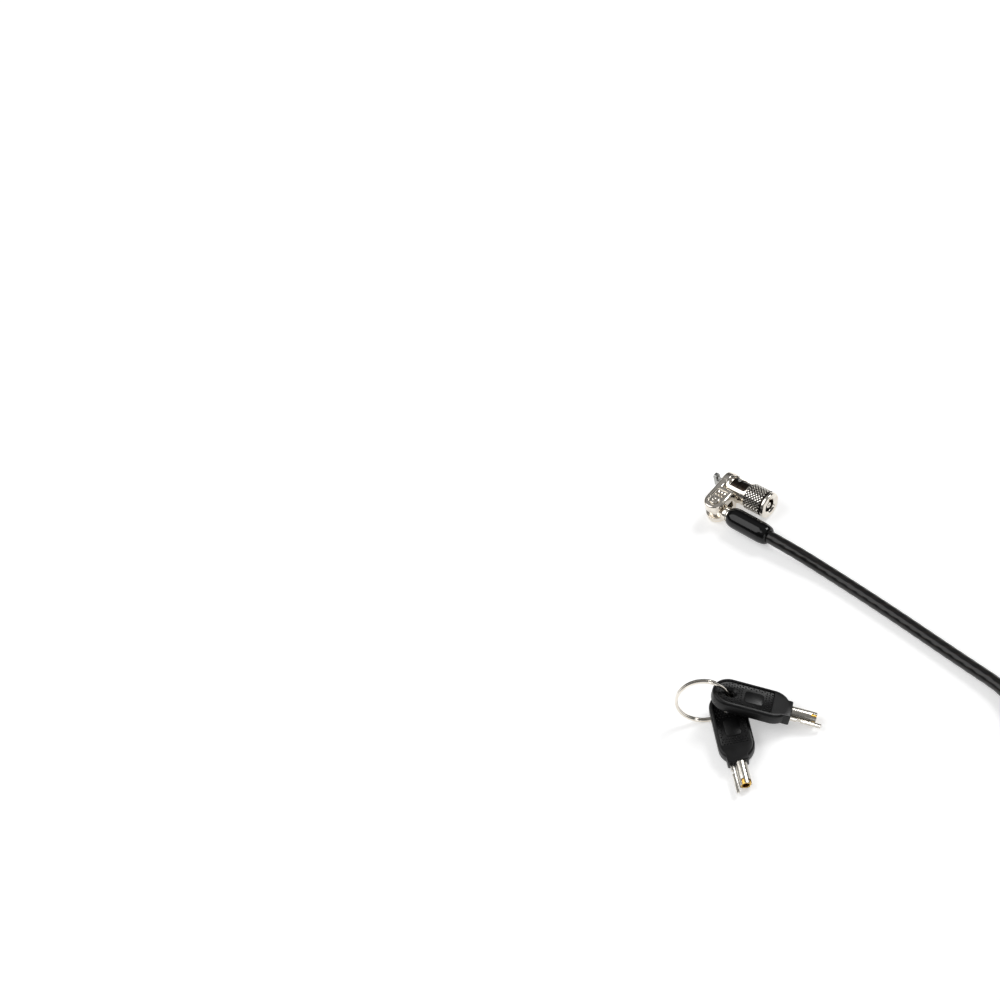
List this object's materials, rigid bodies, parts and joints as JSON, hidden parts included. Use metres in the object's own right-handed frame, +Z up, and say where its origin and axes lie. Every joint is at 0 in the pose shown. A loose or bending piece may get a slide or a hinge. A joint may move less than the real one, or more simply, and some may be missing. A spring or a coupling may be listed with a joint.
{
  "type": "laptop cable lock",
  "caption": "Cable lock for a laptop's security slot: tubular-key barrel with a T-bar, pivoting swivel lug, coiled steel cable with a closed eye, and keys on a split ring.",
  "frame": {"origin": "Centre of the flat slot face of the lock head, on the axis of the barrel, where the head bears on the laptop round its security slot.", "axes": "+X runs back along the barrel to the keyway, -X points into the slot; -Y is the way the cable lug points; +Z is up from the table on which the lock lies."},
  "size_m": [0.2647, 0.15, 0.022],
  "materials": {
    "nickel_plated_zinc": "bright nickel plate over die-cast zinc",
    "nickel_plated_steel": "bright nickel plate over steel",
    "hardened_steel": "ground hardened steel",
    "key_steel": "drawn and turned stainless steel",
    "brass": "turned brass",
    "spring_wire": "phosphor-coated spring wire",
    "blackened_steel": "chemically blackened steel",
    "cable_sheath": "smoke-black clear sheath over stranded steel cable",
    "black_nylon": "moulded black nylon, glossy",
    "black_abs": "moulded black ABS, satin, with stippled panels",
    "aluminium": "pressed aluminium",
    "hook_and_loop": "black woven hook-and-loop strap"
  },
  "bodies": {
    "cable_assembly": {"cable": "cable_sheath", "cable_coil": "cable_sheath", "coil_tie": "hook_and_loop", "cable_tail": "cable_sheath", "cable_eye": "cable_sheath", "loop_crimp": "aluminium", "loop_sleeve": "black_nylon", "cable_ferrule": "black_nylon", "crimp_tube": "hardened_steel", "swivel_stud": "nickel_plated_steel", "swivel_washer": "nickel_plated_steel", "split_ring": "nickel_plated_steel"},
    "swivel_knuckle": {"pivot_knuckle": "nickel_plated_zinc"},
    "lock_head": {"lug_casting": "nickel_plated_zinc", "slot_prongs": "hardened_steel", "clevis_pin": "nickel_plated_steel", "barrel_sleeve": "nickel_plated_zinc", "knurled_grip": "nickel_plated_zinc", "lock_cylinder": "blackened_steel", "driver_block": "brass", "retaining_pin": "hardened_steel", "driver_pins": "hardened_steel", "tumbler_springs": "spring_wire"},
    "key_plug": {"plug_rotor": "nickel_plated_steel", "key_pins": "brass", "tbar_spindle": "hardened_steel", "spindle_clip": "hardened_steel"},
    "key_1": {"key_1_head": "black_abs", "key_1_tube": "key_steel", "key_1_liner": "brass", "key_1_bar": "key_steel"},
    "key_2": {"key_2_head": "black_abs", "key_2_tube": "key_steel", "key_2_liner": "brass", "key_2_bar": "key_steel"}
  },
  "joints": [
    {"name": "cable_swivel", "type": "hinge", "parent": "cable_assembly", "child": "swivel_knuckle", "pos_m": [0.0045, -0.0126, -0.0003], "axis": [0.9997, -0.0262, 0], "continuous": true},
    {"name": "cable_pivot", "type": "hinge", "parent": "swivel_knuckle", "child": "lock_head", "pos_m": [0.0045, -0.0126, -0.0003], "axis": [0, 0, 1], "range_deg": [-3, 175]},
    {"name": "key_turn", "type": "hinge", "parent": "lock_head", "child": "key_plug", "pos_m": [0, 0, 0], "axis": [1, 0, 0], "range_deg": [0, 90]},
    {"name": "key_1_swing", "type": "hinge", "parent": "cable_assembly", "child": "key_1", "pos_m": [0.06996, -0.08883, 0.0063], "axis": [0, 0, 1], "range_deg": [0, 15]},
    {"name": "key_2_swing", "type": "hinge", "parent": "cable_assembly", "child": "key_2", "pos_m": [0.0695, -0.09119, -0.0007], "axis": [0, 0, 1], "range_deg": [-15, 0]}
  ]
}
